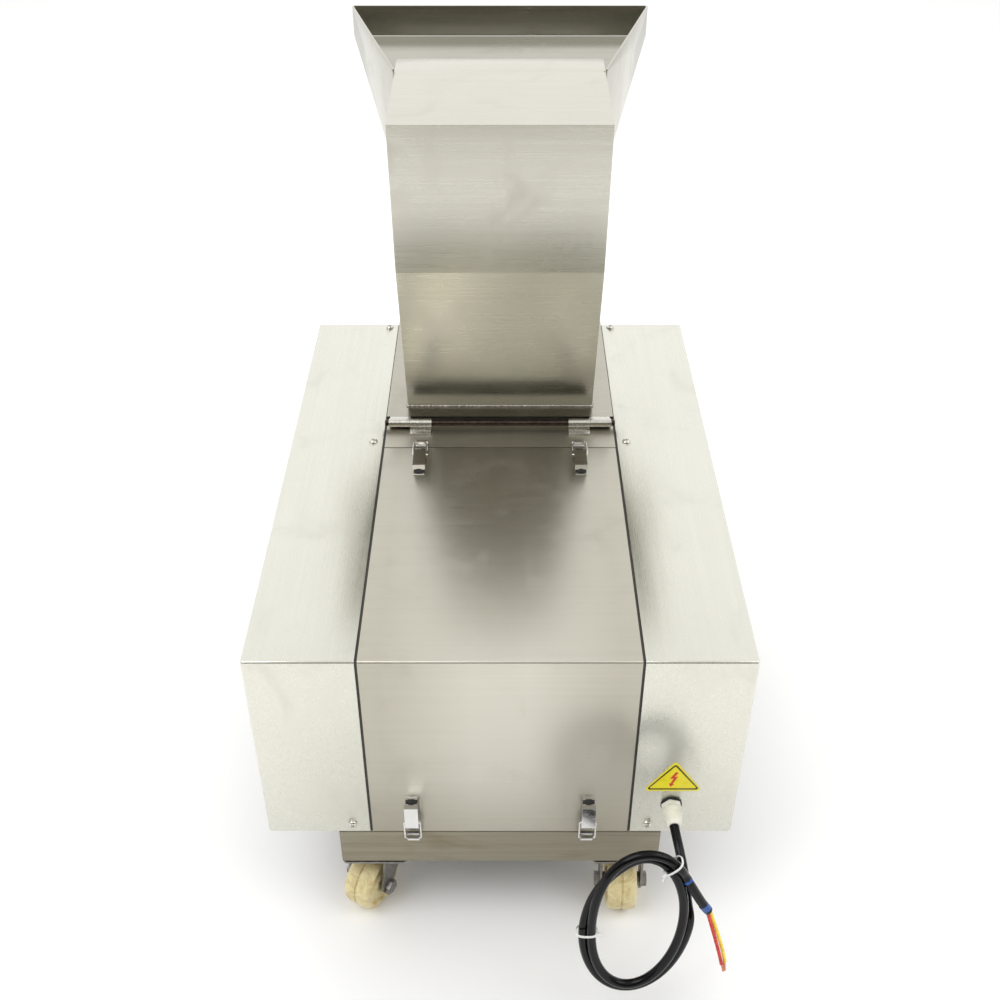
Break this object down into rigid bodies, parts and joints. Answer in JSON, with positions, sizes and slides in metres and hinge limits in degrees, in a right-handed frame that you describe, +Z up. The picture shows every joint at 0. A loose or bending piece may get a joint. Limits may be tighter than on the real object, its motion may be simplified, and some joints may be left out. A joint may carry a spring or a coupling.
{
  "type": "grape crusher destemmer",
  "caption": "Stainless crusher destemmer on casters with a tipping dog-leg hopper, latched motor cover, belt and gear drive, rollers, rotor and tied mains cord.",
  "frame": {"origin": "on the floor under the middle of the machine", "axes": "+Z up, -Y towards the latched motor cover, +Y towards the feed mouth, +X to the right of someone facing the motor cover"},
  "size_m": [0.55, 0.9531, 0.8945],
  "materials": {
    "cover_steel": "fine brushed grain",
    "hopper_steel": "fine brushed grain",
    "tube_steel": "coarse brushed with heat tint",
    "plate_steel": "mill finish",
    "latch_chrome": "polished",
    "nylon": "stained cream",
    "zinc": "dull zinc plate",
    "motor_paint": "satin grey",
    "cast_iron": "rough",
    "shaft_steel": "turned",
    "belt_rubber": "matt",
    "cord_rubber": "glossy black",
    "gland_plastic": "ivory",
    "conductor": "red and yellow",
    "sign_face": "gloss yellow"
  },
  "bodies": {
    "frame": {"base_frame": "tube_steel", "motor_plate": "plate_steel", "left_side_plate": "plate_steel", "right_side_plate": "plate_steel", "chamber_front_wall": "plate_steel", "roller_guides": "plate_steel", "must_chute": "plate_steel", "destem_screen": "plate_steel", "hinge_strip": "plate_steel", "left_side_cover": "cover_steel", "right_side_cover": "cover_steel", "front_cover": "cover_steel", "rear_panel": "cover_steel", "hinge_rod": "shaft_steel", "hinge_knuckles_fixed": "shaft_steel", "cover_screws": "shaft_steel", "latch_bases": "latch_chrome", "latch_catches": "latch_chrome", "caster_plates": "zinc", "flange_bearings": "cast_iron", "motor_housing": "motor_paint", "drive_belt": "belt_rubber", "warning_plate": "sign_face", "gland_body": "gland_plastic", "gland_nut": "gland_plastic", "cord_lead": "cord_rubber", "cord_coil": "cord_rubber", "cord_tail": "cord_rubber", "cord_conductors": "conductor"},
    "hopper": {"hopper_base_plate": "hopper_steel", "hopper_chute": "hopper_steel", "hopper_roof": "hopper_steel", "feed_tray": "hopper_steel", "hinge_knuckles_hopper": "shaft_steel"},
    "motor_drive": {"motor_shaft": "shaft_steel", "motor_pulley": "cast_iron"},
    "rotor": {"destem_rotor": "shaft_steel", "rotor_pulley": "cast_iron", "rotor_gear": "cast_iron"},
    "rear_roller": {"roller_rear": "shaft_steel", "roller_rear_gears": "cast_iron"},
    "front_roller": {"roller_front": "shaft_steel", "roller_front_gear": "cast_iron"},
    "latch_lever_upper_left": {"latch_lever_upper_left": "latch_chrome"},
    "latch_bail_upper_left": {"latch_bail_upper_left": "latch_chrome"},
    "latch_lever_upper_right": {"latch_lever_upper_right": "latch_chrome"},
    "latch_bail_upper_right": {"latch_bail_upper_right": "latch_chrome"},
    "latch_lever_lower_left": {"latch_lever_lower_left": "latch_chrome"},
    "latch_bail_lower_left": {"latch_bail_lower_left": "latch_chrome"},
    "latch_lever_lower_right": {"latch_lever_lower_right": "latch_chrome"},
    "latch_bail_lower_right": {"latch_bail_lower_right": "latch_chrome"},
    "caster_fork_front_left": {"caster_fork_front_left": "zinc"},
    "caster_wheel_front_left": {"caster_wheel_front_left": "nylon"},
    "caster_fork_front_right": {"caster_fork_front_right": "zinc"},
    "caster_wheel_front_right": {"caster_wheel_front_right": "nylon"},
    "caster_fork_rear_left": {"caster_fork_rear_left": "zinc"},
    "caster_wheel_rear_left": {"caster_wheel_rear_left": "nylon"},
    "caster_fork_rear_right": {"caster_fork_rear_right": "zinc"},
    "caster_wheel_rear_right": {"caster_wheel_rear_right": "nylon"}
  },
  "joints": [
    {"name": "hopper_hinge", "type": "hinge", "parent": "frame", "child": "hopper", "pos_m": [0, 0.043, 0.458], "axis": [1, 0, 0], "range_deg": [0, 65]},
    {"name": "latch_upper_left", "type": "hinge", "parent": "frame", "child": "latch_lever_upper_left", "pos_m": [-0.1035, -0.021, 0.4562], "axis": [-1, 0, 0], "range_deg": [0, 120]},
    {"name": "bail_upper_left", "type": "hinge", "parent": "latch_lever_upper_left", "child": "latch_bail_upper_left", "pos_m": [-0.1035, -0.0275, 0.4558], "axis": [-1, 0, 0], "range_deg": [-135, 0]},
    {"name": "latch_upper_right", "type": "hinge", "parent": "frame", "child": "latch_lever_upper_right", "pos_m": [0.1035, -0.021, 0.4562], "axis": [-1, 0, 0], "range_deg": [0, 120]},
    {"name": "bail_upper_right", "type": "hinge", "parent": "latch_lever_upper_right", "child": "latch_bail_upper_right", "pos_m": [0.1035, -0.0275, 0.4558], "axis": [-1, 0, 0], "range_deg": [-135, 0]},
    {"name": "latch_lower_left", "type": "hinge", "parent": "frame", "child": "latch_lever_lower_left", "pos_m": [-0.1035, -0.4062, 0.186], "axis": [1, 0, 0], "range_deg": [0, 120]},
    {"name": "bail_lower_left", "type": "hinge", "parent": "latch_lever_lower_left", "child": "latch_bail_lower_left", "pos_m": [-0.1035, -0.4058, 0.1925], "axis": [1, 0, 0], "range_deg": [-135, 0]},
    {"name": "latch_lower_right", "type": "hinge", "parent": "frame", "child": "latch_lever_lower_right", "pos_m": [0.1035, -0.4062, 0.186], "axis": [1, 0, 0], "range_deg": [0, 120]},
    {"name": "bail_lower_right", "type": "hinge", "parent": "latch_lever_lower_right", "child": "latch_bail_lower_right", "pos_m": [0.1035, -0.4058, 0.1925], "axis": [1, 0, 0], "range_deg": [-135, 0]},
    {"name": "swivel_front_left", "type": "hinge", "parent": "frame", "child": "caster_fork_front_left", "pos_m": [-0.153, -0.35, 0.095], "axis": [0, 0, 1], "continuous": true},
    {"name": "wheel_front_left", "type": "hinge", "parent": "caster_fork_front_left", "child": "caster_wheel_front_left", "pos_m": [-0.164, -0.36905, 0.0375], "axis": [0.866, -0.5, 0], "continuous": true},
    {"name": "swivel_front_right", "type": "hinge", "parent": "frame", "child": "caster_fork_front_right", "pos_m": [0.153, -0.35, 0.095], "axis": [0, 0, 1], "continuous": true},
    {"name": "wheel_front_right", "type": "hinge", "parent": "caster_fork_front_right", "child": "caster_wheel_front_right", "pos_m": [0.153, -0.372, 0.0375], "axis": [1, 0, 0], "continuous": true},
    {"name": "swivel_rear_left", "type": "hinge", "parent": "frame", "child": "caster_fork_rear_left", "pos_m": [-0.153, 0.277, 0.095], "axis": [0, 0, 1], "continuous": true},
    {"name": "wheel_rear_left", "type": "hinge", "parent": "caster_fork_rear_left", "child": "caster_wheel_rear_left", "pos_m": [-0.14768, 0.25565, 0.0375], "axis": [0.9703, 0.2419, 0], "continuous": true},
    {"name": "swivel_rear_right", "type": "hinge", "parent": "frame", "child": "caster_fork_rear_right", "pos_m": [0.153, 0.277, 0.095], "axis": [0, 0, 1], "continuous": true},
    {"name": "wheel_rear_right", "type": "hinge", "parent": "caster_fork_rear_right", "child": "caster_wheel_rear_right", "pos_m": [0.14548, 0.25633, 0.0375], "axis": [0.9397, -0.342, 0], "continuous": true},
    {"name": "rotor_spin", "type": "hinge", "parent": "frame", "child": "rotor", "pos_m": [0, 0.1727, 0.245], "axis": [1, 0, 0], "continuous": true},
    {"name": "motor_spin", "type": "hinge", "parent": "frame", "child": "motor_drive", "pos_m": [0, -0.21, 0.265], "axis": [1, 0, 0], "continuous": true},
    {"name": "rear_roller_spin", "type": "hinge", "parent": "frame", "child": "rear_roller", "pos_m": [0, 0.2, 0.36801], "axis": [1, 0, 0], "continuous": true},
    {"name": "front_roller_spin", "type": "hinge", "parent": "frame", "child": "front_roller", "pos_m": [0, 0.132, 0.36801], "axis": [1, 0, 0], "continuous": true}
  ],
  "couplings": [
    {"joint": "bail_upper_left", "follows": "latch_upper_left", "ratio": -1.1},
    {"joint": "bail_upper_right", "follows": "latch_upper_right", "ratio": -1.1},
    {"joint": "bail_lower_left", "follows": "latch_lower_left", "ratio": -1.1},
    {"joint": "bail_lower_right", "follows": "latch_lower_right", "ratio": -1.1},
    {"joint": "motor_spin", "follows": "rotor_spin", "ratio": 2},
    {"joint": "rear_roller_spin", "follows": "rotor_spin", "ratio": -0.75},
    {"joint": "front_roller_spin", "follows": "rotor_spin", "ratio": 0.75}
  ]
}
